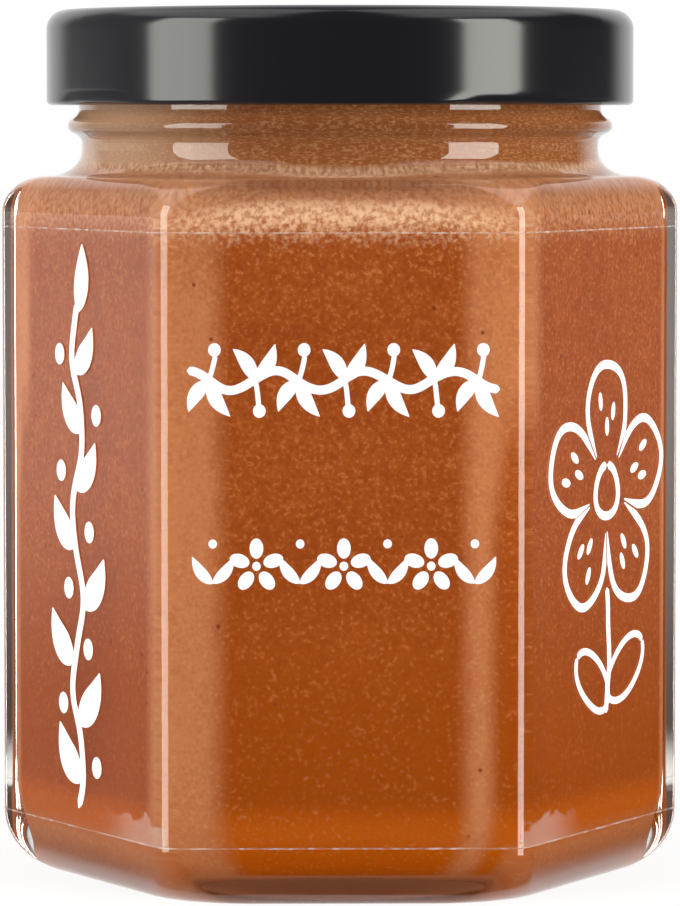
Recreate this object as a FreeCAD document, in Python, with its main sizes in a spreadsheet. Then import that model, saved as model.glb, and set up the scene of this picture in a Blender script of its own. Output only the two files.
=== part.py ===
# Hexagonal twist-off jar of creamed honey, millimetres, +Z up.
#
# The origin is the centre of the ring the jar stands on. One flat of the body faces -Y
# and two of its corners lie on the X axis.
#
#   jar    clear glass, pressed and blown: hexagonal body, moulded shoulder that turns the
#          hexagon into a round neck, transfer bead and a finish with four thread ramps
#   honey  creamed honey, which fills the glass up to its level in the neck
#   lid    lacquered tinplate twist-off cap with its sealing compound and four lugs
#   label  clear film wrapped round the six flats, its two ends a slit apart at the back

import FreeCAD, Part
import math
import os

import Sketcher

# Driving dimensions: spreadsheet alias, value, meaning.
SIZES = [
    # glass body
    ("across_flats", 61.6, "body width over two opposite flats"),
    ("corner_radius", 3.0, "rounding of the six upright corners"),
    ("body_height", 68.3, "height of the flats, where the shoulder begins"),
    ("heel_height", 6.0, "height of the rounded heel"),
    ("heel_inset", 4.0, "how far the flats draw in at the heel"),
    ("heel_corner", 13.0, "corner rounding of the outline it stands on"),
    ("glass_wall", 2.6, "glass thickness in the middle of a flat"),
    ("inner_corner", 11.0, "corner rounding of the cavity"),
    ("base_glass", 3.4, "glass thickness of the base beside the push-up"),
    ("inner_heel_height", 6.0, "height of the rounding at the cavity's bottom"),
    ("inner_heel_inset", 5.0, "how far the cavity draws in at its bottom"),
    ("punt_depth", 3.0, "depth of the domed hollow under the base"),
    ("punt_margin", 3.6, "width of the standing ring at a flat"),
    ("floor_rise", 2.4, "height of the push-up inside, over that hollow"),
    ("dome_flat", 9.0, "radius of the flat in the middle of both domes"),
    ("dome_round", 30.0, "rounding between a dome's flat and its slope"),
    # glass shoulder and neck
    ("shoulder_bulge", 3.8, "height of the shoulder's outward curve"),
    ("shoulder_sweep", 2.7, "height of the shoulder's inward curve"),
    ("shoulder_share", 0.58, "part of the step to the neck that the outward curve takes"),
    ("shoulder_glass", 2.0, "glass thickness over the shoulder"),
    ("neck_radius", 26.8, "outer radius of the neck"),
    ("neck_glass", 2.8, "glass thickness of the neck"),
    ("neck_height", 1.2, "straight neck between shoulder and bead"),
    ("parting_step", 0.05, "step between the body's mould and the neck's mould"),
    # glass finish
    ("bead_height", 2.5, "height of the transfer bead"),
    ("bead_reach", 1.45, "how far the bead stands out from the neck"),
    ("bead_flat", 0.9, "height of the bead's blunt edge"),
    ("bead_round", 0.5, "rounding of the bead's edge"),
    ("finish_height", 9.6, "from the bead to the rim"),
    ("finish_step", 0.3, "how far the finish stands out from the neck"),
    ("rim_round", 0.8, "rounding of the rim"),
    ("ramp_reach", 1.2, "how far a thread ramp stands out from the finish"),
    ("ramp_height", 1.4, "height of a thread ramp"),
    ("ramp_rise", 1.5, "how far a thread ramp climbs along its length"),
    ("ramp_turn", 50.0, "angle a thread ramp spans, degrees"),
    ("ramp_crest", 0.3, "share of a thread ramp's height that its crest keeps"),
    # lid
    ("lid_height", 9.8, "overall height of the lid"),
    ("lid_gap", 1.8, "free space between thread ramps and skirt"),
    ("lid_sheet", 0.3, "lacquered tinplate"),
    ("lid_round", 2.0, "rounding of the lid's top edge"),
    ("panel_recess", 0.6, "how far the panel lies below the lid's top"),
    ("panel_margin", 5.4, "width of the raised ring round the panel"),
    ("curl_height", 1.7, "height of the rolled hem"),
    ("curl_width", 1.3, "width of the rolled hem"),
    ("curl_share", 0.4, "rounding of the hem as a share of its width"),
    ("seal_depth", 0.8, "sealing compound between the lid and the rim"),
    ("seal_width", 4.6, "width of the sealing compound's ring"),
    ("lug_width", 11.0, "width of a lug at the hem"),
    ("lug_height", 1.1, "height of a lug's upper face over the hem"),
    ("lug_sheet", 0.9, "thickness of a lug, folded sheet"),
    ("lug_gap", 0.35, "free space between lugs and finish"),
    ("lug_turn", 33.0, "direction of the first lug and the thread ramp it holds, degrees"),
    # honey and label
    ("headspace", 3.6, "from the honey up to the rim"),
    ("film", 0.15, "thickness of the label film"),
    ("label_low_margin", 0.0, "from the heel up to the label"),
    ("label_top_margin", 1.35, "from the label up to the shoulder"),
    ("label_slit", 1.5, "slit between the label's ends"),
]
RAMPS = 4
HEXAGON = [math.radians(60 * k) for k in range(6)]
# Turns at which a quarter ellipse gets a section.
LOFT_STEPS = [math.radians(18 * k) for k in range(6)]
# How far a loft runs on into the straight part beside it.
LOFT_LEAD = 1.0
# How far a cut runs past what it cuts.
CLEAR_OF = 1.0
# Flat left on the round end of a loft, so that all its sections have the same edges.
ROUND_HAIR = 0.1


class Size:
    """A length that knows its number and the expression that binds it to the sheet."""

    def __init__(self, text, value):
        self.text = text
        self.value = value

    @staticmethod
    def of(other):
        """Return other as a Size; a bare number keeps its own digits as the text."""
        return other if isinstance(other, Size) else Size(repr(float(other)), float(other))

    def __add__(self, other):
        other = Size.of(other)
        return Size(f"({self.text} + {other.text})", self.value + other.value)

    def __sub__(self, other):
        other = Size.of(other)
        return Size(f"({self.text} - {other.text})", self.value - other.value)

    def __mul__(self, other):
        other = Size.of(other)
        return Size(f"({self.text} * {other.text})", self.value * other.value)

    def __rsub__(self, other):
        return Size.of(other) - self

    def __truediv__(self, other):
        other = Size.of(other)
        return Size(f"({self.text} / {other.text})", self.value / other.value)


def make_sheet(doc):
    """Write the driving dimensions into a spreadsheet and return them as Size values."""
    sheet = doc.addObject("Spreadsheet::Sheet", "Sizes")
    for row, (alias, value, meaning) in enumerate(SIZES, start=1):
        sheet.set(f"A{row}", meaning)
        sheet.set(f"B{row}", str(value))
        sheet.setAlias(f"B{row}", alias)
    doc.recompute()
    return {alias: Size(f"Sizes.{alias}", sheet.get(alias)) for alias, _, _ in SIZES}


def new_body(doc, label):
    """Add an empty PartDesign body with the given label."""
    body = doc.addObject("PartDesign::Body", label)
    body.Label = label
    return body


def new_sketch(body, name, plane="XY_Plane", height=None):
    """Add a sketch on one of the body's origin planes, lifted to a bound height."""
    sketch = body.newObject("Sketcher::SketchObject", name)
    origin_plane = next(f for f in body.Origin.OriginFeatures if f.Role == plane)
    sketch.AttachmentSupport = [(origin_plane, "")]
    sketch.MapMode = "FlatFace"
    if height is not None:
        sketch.setExpression(".AttachmentOffset.Base.z", height.text)
    return sketch


def turn_about_axis(sketch, angle):
    """Turn an upright sketch about the body's Z axis by a bound angle."""
    sketch.AttachmentOffset = FreeCAD.Placement(
        FreeCAD.Vector(), FreeCAD.Rotation(FreeCAD.Vector(0, 1, 0), angle.value))
    sketch.setExpression(".AttachmentOffset.Rotation.Angle", angle.text)


def constrain(sketch, *terms, size=None):
    """Add one constraint; a Size given with it is bound to the sheet."""
    if size is None:
        sketch.addConstraint(Sketcher.Constraint(*terms))
        return
    index = sketch.addConstraint(Sketcher.Constraint(*terms, size.value))
    name = f"size{index}"
    sketch.renameConstraint(index, name)
    sketch.setExpression(f"Constraints.{name}", size.text)


def place_point(sketch, point, across, along):
    """Hold a point at bound distances from the sketch's origin, on either side of it."""
    for kind, size in (("DistanceX", across), ("DistanceY", along)):
        if abs(size.value) < 1e-9:
            constrain(sketch, kind, -1, 1, point, 1, 0.0)
        elif size.value > 0:
            constrain(sketch, kind, -1, 1, point, 1, size=size)
        else:
            constrain(sketch, kind, point, 1, -1, 1, size=0 - size)


def add_outline(sketch, corners):
    """Draw a closed outline through corners (x, y, radius or None), all of them bound.

    Each corner is a construction point. A plain corner joins its two lines, and a
    rounded one gets an arc that is tangent to both.
    """
    places = [FreeCAD.Vector(x.value, y.value, 0) for x, y, _ in corners]
    count = len(corners)
    starts, ends = [], []
    for here, (_, _, radius) in enumerate(corners):
        before = (places[here - 1] - places[here]).normalize()
        after = (places[(here + 1) % count] - places[here]).normalize()
        setback = 0.0
        if radius:
            setback = radius.value / math.tan(before.getAngle(after) / 2)
        ends.append(places[here] + before * setback)
        starts.append(places[here] + after * setback)

    points = []
    for place, (x, y, _) in zip(places, corners):
        points.append(sketch.addGeometry(Part.Point(place), True))
        place_point(sketch, points[-1], x, y)
    lines = []
    for here in range(count):
        edge = Part.LineSegment(starts[here], ends[(here + 1) % count])
        lines.append(sketch.addGeometry(edge, False))

    for here, (_, _, radius) in enumerate(corners):
        inward, outward = lines[here - 1], lines[here]
        if radius is None:
            constrain(sketch, "Coincident", points[here], 1, inward, 2)
            constrain(sketch, "Coincident", points[here], 1, outward, 1)
            continue
        chord_middle = (ends[here] + starts[here]) * 0.5
        to_centre = (chord_middle - places[here]).normalize()
        setback = (ends[here] - places[here]).Length
        centre = places[here] + to_centre * math.hypot(radius.value, setback)
        top = centre - to_centre * radius.value
        arc = Part.Arc(ends[here], top, starts[here])
        bend = sketch.addGeometry(arc, False)
        turn = (places[here] - ends[here]).cross(starts[here] - places[here]).z
        first, last = (1, 2) if turn > 0 else (2, 1)
        constrain(sketch, "Tangent", inward, 2, bend, first)
        constrain(sketch, "Tangent", outward, 1, bend, last)
        constrain(sketch, "PointOnObject", points[here], 1, inward)
        constrain(sketch, "PointOnObject", points[here], 1, outward)
        constrain(sketch, "Radius", bend, size=radius)


def hexagon(apothem, radius):
    """Corners of a rounded hexagon, two of them on the X axis."""
    reach = apothem * (1 / math.cos(math.radians(30)))
    return [(reach * math.cos(turn), reach * math.sin(turn), radius) for turn in HEXAGON]


def hexagon_sketch(body, name, height, apothem, radius):
    """Draw a rounded hexagon at a height."""
    sketch = new_sketch(body, name, height=height)
    add_outline(sketch, hexagon(apothem, radius))
    return sketch


def loft(body, name, sketches, cut=False):
    """Loft smoothly through the sketches, adding or cutting."""
    kind = "PartDesign::SubtractiveLoft" if cut else "PartDesign::AdditiveLoft"
    feature = body.newObject(kind, name)
    feature.Profile = sketches[0]
    feature.Sections = sketches[1:]
    feature.Ruled = False
    return feature


def prism(body, name, sketch, length, cut=False):
    """Extrude a sketch upwards by a bound length, adding or cutting."""
    feature = body.newObject("PartDesign::Pocket" if cut else "PartDesign::Pad", name)
    feature.Profile = sketch
    feature.Type = "Length"
    feature.setExpression("Length", length.text)
    feature.Reversed = cut
    return feature


def revolve(body, name, sketch, cut=False, angle=None):
    """Turn an upright sketch about the Z axis, all round or through a bound angle."""
    feature = body.newObject("PartDesign::Groove" if cut else "PartDesign::Revolution", name)
    feature.Profile = sketch
    feature.ReferenceAxis = (sketch, ["V_Axis"])
    feature.Angle = 360
    if angle is not None:
        feature.Midplane = True
        feature.setExpression("Angle", angle.text)
    return feature


def heel_sections(body, name, form):
    """Sketches of a heel that rounds in over a quarter ellipse down to the outline below."""
    sections = []
    for step, turn in enumerate(LOFT_STEPS):
        height = form["low"] + form["heel_height"] * (1 - math.cos(turn))
        drawn_in = form["heel_inset"] * (1 - math.sin(turn))
        mix = math.sin(turn)
        radius = form["corner"] * mix + form["heel_corner"] * (1 - mix)
        apothem = form["apothem"] - drawn_in
        sections.append(hexagon_sketch(body, f"{name}Heel{step}", height, apothem, radius))
    lead = form["low"] + form["heel_height"] + LOFT_LEAD
    sections.append(hexagon_sketch(body, f"{name}HeelTop", lead, form["apothem"], form["corner"]))
    return sections


def shoulder_sections(body, name, size, form):
    """Sketches that turn the hexagon into the round neck over two quarter ellipses.

    At each height the flats and the corners have both come the same share of their way
    from the body to the neck. The corner's rounding follows from the two distances.
    """
    outward, inward = size["shoulder_bulge"], size["shoulder_sweep"]
    share = size["shoulder_share"]
    steps = [(form["high"] - LOFT_LEAD, Size.of(1.0))]
    for turn in LOFT_STEPS:
        steps.append((form["high"] + outward * math.sin(turn), 1 - share * (1 - math.cos(turn))))
    for turn in LOFT_STEPS[1:]:
        height = form["high"] + outward + inward * (1 - math.cos(turn))
        steps.append((height, (1 - share) * (1 - math.sin(turn))))
    steps.append((form["high"] + outward + inward + LOFT_LEAD / 2, Size.of(0.0)))

    sections = []
    for step, (height, part) in enumerate(steps):
        apothem = form["round"] + (form["apothem"] - form["round"]) * part
        radius = (form["round"] - ROUND_HAIR) * (1 - part) + form["corner"] * part
        sections.append(hexagon_sketch(body, f"{name}Shoulder{step}", height, apothem, radius))
    return sections


def bottle_form(body, name, size, form, cut=False):
    """Heel, upright walls and shoulder of the glass outside, of its cavity or of the honey."""
    loft(body, f"{name}Shoulder", shoulder_sections(body, name, size, form), cut)
    floor = form["low"] + form["heel_height"] + LOFT_LEAD
    walls = hexagon_sketch(body, f"{name}Walls", floor, form["apothem"], form["corner"])
    prism(body, f"{name}Upright", walls, form["high"] - LOFT_LEAD - floor, cut)
    loft(body, f"{name}Heel", heel_sections(body, name, form), cut)


def heights(size):
    """Levels of the neck, finish and lid, stacked from the body up."""
    level = {}
    level["neck"] = size["body_height"] + size["shoulder_bulge"] + size["shoulder_sweep"]
    level["bead"] = level["neck"] + size["neck_height"]
    level["finish"] = level["bead"] + size["bead_height"]
    level["rim"] = level["finish"] + size["finish_height"]
    level["lid"] = level["rim"] + size["seal_depth"] + size["lid_sheet"]
    level["hem"] = level["lid"] - size["lid_height"]
    level["honey"] = level["rim"] - size["headspace"]
    return level


def outside_form(size):
    """Values of the glass's outer surface."""
    return {
        "low": Size.of(0.0),
        "high": size["body_height"],
        "apothem": size["across_flats"] * 0.5,
        "corner": size["corner_radius"],
        "heel_height": size["heel_height"],
        "heel_inset": size["heel_inset"],
        "heel_corner": size["heel_corner"],
        "round": size["neck_radius"] + size["parting_step"],
    }


def inside_form(size):
    """Values of the cavity, which the honey fills."""
    return {
        "low": size["base_glass"],
        "high": size["body_height"] - size["shoulder_glass"],
        "apothem": size["across_flats"] * 0.5 - size["glass_wall"],
        "corner": size["inner_corner"],
        "heel_height": size["inner_heel_height"],
        "heel_inset": size["inner_heel_inset"],
        "heel_corner": size["inner_corner"],
        "round": size["neck_radius"] - size["neck_glass"] - size["parting_step"],
    }


def make_jar(doc, size, level):
    """The glass: outside, bore, cavity, thread ramps and the hollow under the base."""
    body = new_body(doc, "jar")
    bottle_form(body, "Outside", size, outside_form(size))

    neck, bead = size["neck_radius"], size["neck_radius"] + size["bead_reach"]
    finish = neck + size["finish_step"]
    bore = neck - size["neck_glass"]
    bead_middle = level["bead"] + size["bead_height"] * 0.5
    inside = inside_form(size)
    bore_floor = inside["high"] + size["shoulder_bulge"] + size["shoulder_sweep"]
    profile = new_sketch(body, "FinishProfile", "XZ_Plane")
    add_outline(profile, [
        (Size.of(0.0), size["body_height"], None),
        (neck, size["body_height"], None),
        (neck, level["bead"], None),
        (bead, bead_middle - size["bead_flat"] * 0.5, size["bead_round"]),
        (bead, bead_middle + size["bead_flat"] * 0.5, size["bead_round"]),
        (finish, level["finish"], None),
        (finish, level["rim"], size["rim_round"]),
        (Size.of(0.0), level["rim"], None),
    ])
    revolve(body, "Finish", profile)

    opening = new_sketch(body, "BoreProfile", "XZ_Plane")
    add_outline(opening, [
        (Size.of(0.0), bore_floor, None),
        (bore, bore_floor, None),
        (bore, level["rim"] - size["rim_round"], None),
        (bore + size["rim_round"], level["rim"], None),
        (bore + size["rim_round"], level["rim"] + CLEAR_OF, None),
        (Size.of(0.0), level["rim"] + CLEAR_OF, None),
    ])
    revolve(body, "Bore", opening, cut=True)
    bottle_form(body, "Cavity", size, inside, cut=True)

    add_dome(body, "PushUp", size, size["base_glass"], size["floor_rise"])
    add_dome(body, "Punt", size, Size.of(0.0), size["punt_depth"], cut=True)
    add_thread_ramps(body, size, level, finish)
    return body


def add_dome(body, name, size, floor, rise, cut=False):
    """Add or cut the low dome of the base: a slope up to a flat, with a wide rounding."""
    foot = size["across_flats"] * 0.5 - size["heel_inset"] - size["punt_margin"]
    below = floor - CLEAR_OF
    outline = new_sketch(body, f"{name}Profile", "XZ_Plane")
    add_outline(outline, [
        (Size.of(0.0), below, None),
        (foot, below, None),
        (foot, floor, None),
        (size["dome_flat"], floor + rise, size["dome_round"]),
        (Size.of(0.0), floor + rise, None),
    ])
    revolve(body, name, outline, cut)


def add_thread_ramps(body, size, level, finish):
    """Sweep one sloping thread ramp round the finish and repeat it."""
    root = finish - size["rim_round"]
    crest = finish + size["ramp_reach"]
    half_crest = size["ramp_height"] * size["ramp_crest"] * 0.5
    low = level["hem"] + size["lug_height"] + size["lug_gap"]
    middle = low + size["ramp_height"] * 0.5
    profile = new_sketch(body, "RampProfile", "XZ_Plane")
    turn_about_axis(profile, size["lug_turn"])
    add_outline(profile, [
        (root, low, None),
        (finish, low, None),
        (crest, middle - half_crest, None),
        (crest, middle + half_crest, None),
        (finish, low + size["ramp_height"], None),
        (root, low + size["ramp_height"], None),
    ])
    ramp = body.newObject("PartDesign::AdditiveHelix", "Ramp")
    ramp.Profile = profile
    ramp.ReferenceAxis = (profile, ["V_Axis"])
    ramp.Mode = "height-turns-growth"
    ramp.setExpression("Height", size["ramp_rise"].text)
    ramp.setExpression("Turns", (size["ramp_turn"] * (1 / 360)).text)
    repeat_round(body, ramp, "Ramps", RAMPS)


def repeat_round(body, feature, name, count):
    """Repeat a feature evenly about the Z axis."""
    pattern = body.newObject("PartDesign::PolarPattern", name)
    pattern.Originals = [feature]
    z_axis = next(f for f in body.Origin.OriginFeatures if f.Role == "Z_Axis")
    pattern.Axis = (z_axis, [""])
    pattern.Angle = 360
    pattern.Occurrences = count
    body.Tip = pattern
    return pattern


def make_honey(doc, size, level):
    """The honey: the cavity's form and the neck's bore, up to the level."""
    body = new_body(doc, "honey")
    inside = inside_form(size)
    bottle_form(body, "Honey", size, inside)
    add_dome(body, "OverPushUp", size, size["base_glass"], size["floor_rise"], cut=True)
    bore_floor = inside["high"] + size["shoulder_bulge"] + size["shoulder_sweep"]
    surface = new_sketch(body, "NeckRing", height=bore_floor)
    bore = size["neck_radius"] - size["neck_glass"]
    circle = Part.Circle(FreeCAD.Vector(0, 0, 0), FreeCAD.Vector(0, 0, 1), bore.value)
    ring = surface.addGeometry(circle, False)
    constrain(surface, "Coincident", ring, 3, -1, 1)
    constrain(surface, "Radius", ring, size=bore)
    prism(body, "InNeck", surface, level["honey"] - bore_floor)
    return body


def make_lid(doc, size, level):
    """The lid: a drawn shell with a recessed panel and a rolled hem, its seal and lugs."""
    body = new_body(doc, "lid")
    finish = size["neck_radius"] + size["finish_step"]
    sheet = size["lid_sheet"]
    inner = finish + size["ramp_reach"] + size["lid_gap"]
    outer = inner + sheet
    panel = outer - size["panel_margin"]
    curl = outer - size["curl_width"]
    seal = finish + sheet - size["seal_width"]
    under = level["lid"] - sheet
    hem_round = size["curl_width"] * size["curl_share"]
    profile = new_sketch(body, "ShellProfile", "XZ_Plane")
    add_outline(profile, [
        (Size.of(0.0), level["lid"] - size["panel_recess"] - sheet, None),
        (seal, level["lid"] - size["panel_recess"] - sheet, None),
        (seal, level["rim"], None),
        (finish + sheet, level["rim"], None),
        (finish + sheet, under, None),
        (inner, under, size["lid_round"] - sheet),
        (inner, level["hem"] + size["curl_height"], None),
        (curl, level["hem"] + size["curl_height"], hem_round),
        (curl, level["hem"], hem_round),
        (outer, level["hem"], hem_round),
        (outer, level["lid"], size["lid_round"]),
        (panel + size["panel_recess"], level["lid"], size["panel_recess"]),
        (panel, level["lid"] - size["panel_recess"], size["panel_recess"]),
        (Size.of(0.0), level["lid"] - size["panel_recess"], None),
    ])
    revolve(body, "Shell", profile)

    lug_inner, lug_root = finish + size["lug_gap"], curl + size["curl_width"] * 0.5
    lug_top = level["hem"] + size["lug_height"]
    lug_under = lug_top - size["lug_sheet"]
    lug_outline = new_sketch(body, "LugProfile", "XZ_Plane")
    turn_about_axis(lug_outline, size["lug_turn"])
    add_outline(lug_outline, [
        (lug_inner, lug_under, None),
        (lug_root, lug_under, None),
        (lug_root, lug_top, None),
        (lug_inner, lug_top, None),
    ])
    arc_angle = size["lug_width"] * math.degrees(1.0) / curl
    lug = revolve(body, "Lug", lug_outline, angle=arc_angle)
    repeat_round(body, lug, "Lugs", RAMPS)
    return body


def make_label(doc, size):
    """The label: a ring of film on the flats and round the corners, open at its slit."""
    body = new_body(doc, "label")
    outside = outside_form(size)
    low = size["heel_height"] + size["label_low_margin"]
    tall = size["body_height"] - size["label_top_margin"] - low
    ring = new_sketch(body, "FilmRing", height=low)
    add_outline(ring, hexagon(outside["apothem"] + size["film"],
                              outside["corner"] + size["film"]))
    add_outline(ring, hexagon(outside["apothem"], outside["corner"]))
    prism(body, "Film", ring, tall)

    slit = new_sketch(body, "SlitOutline", height=low)
    half = size["label_slit"] * 0.5
    near = outside["apothem"] - CLEAR_OF
    far = outside["apothem"] + size["film"] + CLEAR_OF
    add_outline(slit, [
        (0 - half, near, None),
        (half, near, None),
        (half, far, None),
        (0 - half, far, None),
    ])
    prism(body, "Slit", slit, tall, cut=True)
    return body


def check_document(doc, bodies):
    """Stop if a feature failed or a body has no single valid solid."""
    for item in doc.Objects:
        if {"Invalid", "Error"} & set(item.State):
            raise RuntimeError(f"{item.Name} failed: {item.State}")
    for body in bodies:
        shape = body.Shape
        if shape.isNull() or not shape.isValid() or len(shape.Solids) != 1:
            raise RuntimeError(f"{body.Label} is not one valid solid")


def main():
    """Build the four pieces and write each to its own STEP file."""
    doc = FreeCAD.newDocument("HoneyJar")
    size = make_sheet(doc)
    level = heights(size)
    bodies = [
        make_jar(doc, size, level),
        make_honey(doc, size, level),
        make_lid(doc, size, level),
        make_label(doc, size),
    ]
    doc.recompute()
    check_document(doc, bodies)
    os.makedirs("parts", exist_ok=True)
    for body in bodies:
        box = body.Shape.BoundBox
        print(f"{body.Label}: {body.Shape.Volume / 1000:.2f} cm3, "
              f"{box.XLength:.2f} x {box.YLength:.2f} x {box.ZLength:.2f} mm from {box.ZMin:.2f}")
        body.Shape.exportStep(f"parts/{body.Label}.step")


main()
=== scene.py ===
"""A hexagonal twist-off jar of creamed honey: glass, honey, black cap and printed clear label.

Every shape is a surface over a two-parameter grid. The glass, the honey and the cap share
one kind of grid: a meridian path, carried round the Z axis over a rounded hexagon whose
flats and corners swell or close on the way up, down to a plain circle at the neck.
Lengths in the classes are millimetres, and the meshes are metres.
"""

from __future__ import annotations

import logging
import math
from dataclasses import dataclass
from enum import Enum
from functools import partial
from typing import Callable, Sequence

import bmesh
import bpy
import numpy as np
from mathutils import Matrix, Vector

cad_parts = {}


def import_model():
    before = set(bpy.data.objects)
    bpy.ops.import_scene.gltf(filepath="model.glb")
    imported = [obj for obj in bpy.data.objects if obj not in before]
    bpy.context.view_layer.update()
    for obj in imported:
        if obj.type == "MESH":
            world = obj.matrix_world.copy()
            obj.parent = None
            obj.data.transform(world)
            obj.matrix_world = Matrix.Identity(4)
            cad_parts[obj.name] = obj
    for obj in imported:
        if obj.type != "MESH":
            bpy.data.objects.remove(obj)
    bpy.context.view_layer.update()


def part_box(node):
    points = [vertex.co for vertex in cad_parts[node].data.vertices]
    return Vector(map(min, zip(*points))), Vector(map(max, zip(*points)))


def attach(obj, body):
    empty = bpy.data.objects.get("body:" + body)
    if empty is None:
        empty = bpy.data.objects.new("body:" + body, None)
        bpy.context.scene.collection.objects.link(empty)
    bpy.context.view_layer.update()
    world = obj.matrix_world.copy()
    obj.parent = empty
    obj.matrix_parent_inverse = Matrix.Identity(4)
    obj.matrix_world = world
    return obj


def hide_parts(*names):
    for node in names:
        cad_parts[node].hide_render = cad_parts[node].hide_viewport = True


LOG = logging.getLogger("honey_jar")
MM = 0.001
BODY = "root"
TURN = 2.0 * math.pi
POLE = 0.6  # radius of the last ring beside a pole, millimetres
# point attribute that holds the honey's painted light at the corners and heels
PAINTED_LIGHT = "bloom"
WHITE = "FFFFFF"

Colour = tuple[float, float, float, float]
Socket = bpy.types.NodeSocket
AddNode = Callable[..., bpy.types.NodeSocket]

# Node settings that come back often. A SOFT map range steps smoothly between two values.
TIMES = {"operation": "MULTIPLY"}
TIMES_PLUS = {"operation": "MULTIPLY_ADD"}
LARGER = {"operation": "MAXIMUM"}
UNSIGNED = {"operation": "ABSOLUTE"}
SOFT = {"interpolation_type": "SMOOTHSTEP"}
COLOURS = {"data_type": "RGBA"}


# ---------------------------------------------------------------------------
# Colour and node helpers
# ---------------------------------------------------------------------------


def linear(hex_colour: str) -> Colour:
    """Turn an sRGB hex colour into opaque linear RGBA.

    Args:
        hex_colour: six hex digits.

    Returns:
        The colour as Blender's sockets take it.
    """
    channels = []
    for start in (0, 2, 4):
        value = int(hex_colour[start:start + 2], 16) / 255.0
        low = value / 12.92
        high = ((value + 0.055) / 1.055) ** 2.4
        channels.append(low if value <= 0.04045 else high)
    return channels[0], channels[1], channels[2], 1.0


def per_metre(millimetres: float) -> float:
    """Return the texture scale whose pattern repeats about every given millimetres."""
    return 1.0 / (millimetres * MM)


def add_node(tree: bpy.types.NodeTree, kind: str, settings: dict | None = None,
             inputs: dict | Sequence = (), output: int | str = 0) -> Socket | None:
    """Add a node, set its properties, and fill or link its inputs.

    Args:
        tree: node tree that gets the node.
        kind: the node's type name after "ShaderNode".
        settings: property name to value; "stops" holds a colour ramp's positions and colours.
        inputs: values, or the sockets that feed them, by input name or index or in order.
        output: the output that is wanted.

    Returns:
        That output, or None for a node that has no outputs.
    """
    node = tree.nodes.new("ShaderNode" + kind)
    for name, value in (settings or {}).items():
        if name != "stops":
            setattr(node, name, value)
            continue
        band = node.color_ramp.elements
        while len(band) < len(value):
            band.new(0.5)
        for element, (position, colour) in zip(band, value):
            element.position = position
            element.color = linear(colour)
    for key, value in inputs.items() if isinstance(inputs, dict) else enumerate(inputs):
        socket = node.inputs[key]
        if isinstance(value, bpy.types.NodeSocket):
            tree.links.new(value, socket)
        else:
            socket.default_value = value
    return node.outputs[output] if node.outputs else None


def new_material(name: str) -> tuple[bpy.types.Material, AddNode]:
    """Make an empty node material.

    Args:
        name: the material's name.

    Returns:
        The material, and the function that adds a node to it.
    """
    material = bpy.data.materials.new(name)
    material.use_nodes = True
    material.node_tree.nodes.clear()
    return material, partial(add_node, material.node_tree)


# ---------------------------------------------------------------------------
# Surfaces
# ---------------------------------------------------------------------------


@dataclass(frozen=True)
class Ring:
    """One level of a carried section: apothem, corner rounding and height in millimetres."""

    apothem: float
    rounding: float
    height: float

    def vector(self) -> np.ndarray:
        """Return the three numbers as an array."""
        return np.array([self.apothem, self.rounding, self.height])


def circle(radius: float, height: float) -> Ring:
    """Return a level whose section is round; a hair of flat keeps its faces whole."""
    return Ring(radius, radius * 0.998, height)


class Meridian:
    """A path of levels made of straight runs and quarter ellipses, with its tangents."""

    def __init__(self, start: Ring) -> None:
        """Begin the path.

        Args:
            start: the first level.
        """
        self.end = start.vector()
        self.levels: list[np.ndarray] = [self.end[None, :]]
        self.tangents: list[np.ndarray] = []

    def line(self, to: Ring, steps: int = 1) -> Meridian:
        """Run straight to a level: each number changes evenly.

        Args:
            to: the last level of the run.
            steps: number of rows.

        Returns:
            The path itself.
        """
        goal = to.vector()
        share = np.linspace(0.0, 1.0, steps + 1)[:, None]
        rows = self.end + (goal - self.end) * share
        self._take(rows, np.repeat((goal - self.end)[None, :], steps + 1, axis=0), goal)
        return self

    def curve(self, via: Ring, to: Ring, steps: int = 10) -> Meridian:
        """Turn a corner over a quarter ellipse.

        With the turn t from 0 to 90 degrees, a row is the corner, plus the way back to
        the start times one minus sine t, plus the way on to the end times one minus
        cosine t.

        Args:
            via: the corner that the two tangents meet in.
            to: the level where the turn ends.
            steps: number of rows.

        Returns:
            The path itself.
        """
        corner, goal = via.vector(), to.vector()
        turn = np.linspace(0.0, math.pi / 2, steps + 1)[:, None]
        back, onward = self.end - corner, goal - corner
        rows = corner + back * (1 - np.sin(turn)) + onward * (1 - np.cos(turn))
        slopes = -back * np.cos(turn) + onward * np.sin(turn)
        self._take(rows, slopes, goal)
        return self

    def corner(self, via: Ring, onward: Ring, setback: float, steps: int = 6) -> Meridian:
        """Run straight to a corner and turn it a setback before and after it.

        Args:
            via: the corner.
            onward: the level that the path makes for after it.
            setback: how far from the corner the turn begins and ends, millimetres.
            steps: number of rows of the turn.

        Returns:
            The path itself.
        """
        middle = via.vector()
        ends = []
        for other in (self.end, onward.vector()):
            way = other - middle
            share = min(1.0, setback / math.hypot(way[0], way[2]))
            ends.append(Ring(*(middle + way * share)))
        return self.line(ends[0], 1).curve(via, ends[1], steps)

    def follow(self, *moves: tuple) -> Meridian:
        """Make round runs and turns, one after the other.

        Args:
            moves: for each the number of rows, and then radius and height of its end, or
                of the corner and the end where it turns.

        Returns:
            The path itself.
        """
        for steps, *places in moves:
            rings = [circle(*place) for place in places]
            if len(rings) == 1:
                self.line(rings[0], steps)
            else:
                self.curve(*rings, steps)
        return self

    def _take(self, rows: np.ndarray, slopes: np.ndarray, goal: np.ndarray) -> None:
        """Store new rows; the first one repeats the row before and only gives its slope."""
        if not self.tangents:
            self.tangents.append(slopes[:1])
        self.levels.append(rows[1:])
        self.tangents.append(slopes[1:])
        self.end = goal

    def arrays(self) -> tuple[np.ndarray, np.ndarray]:
        """Return all levels and all tangents, one row each."""
        return np.concatenate(self.levels), np.concatenate(self.tangents)


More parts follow.
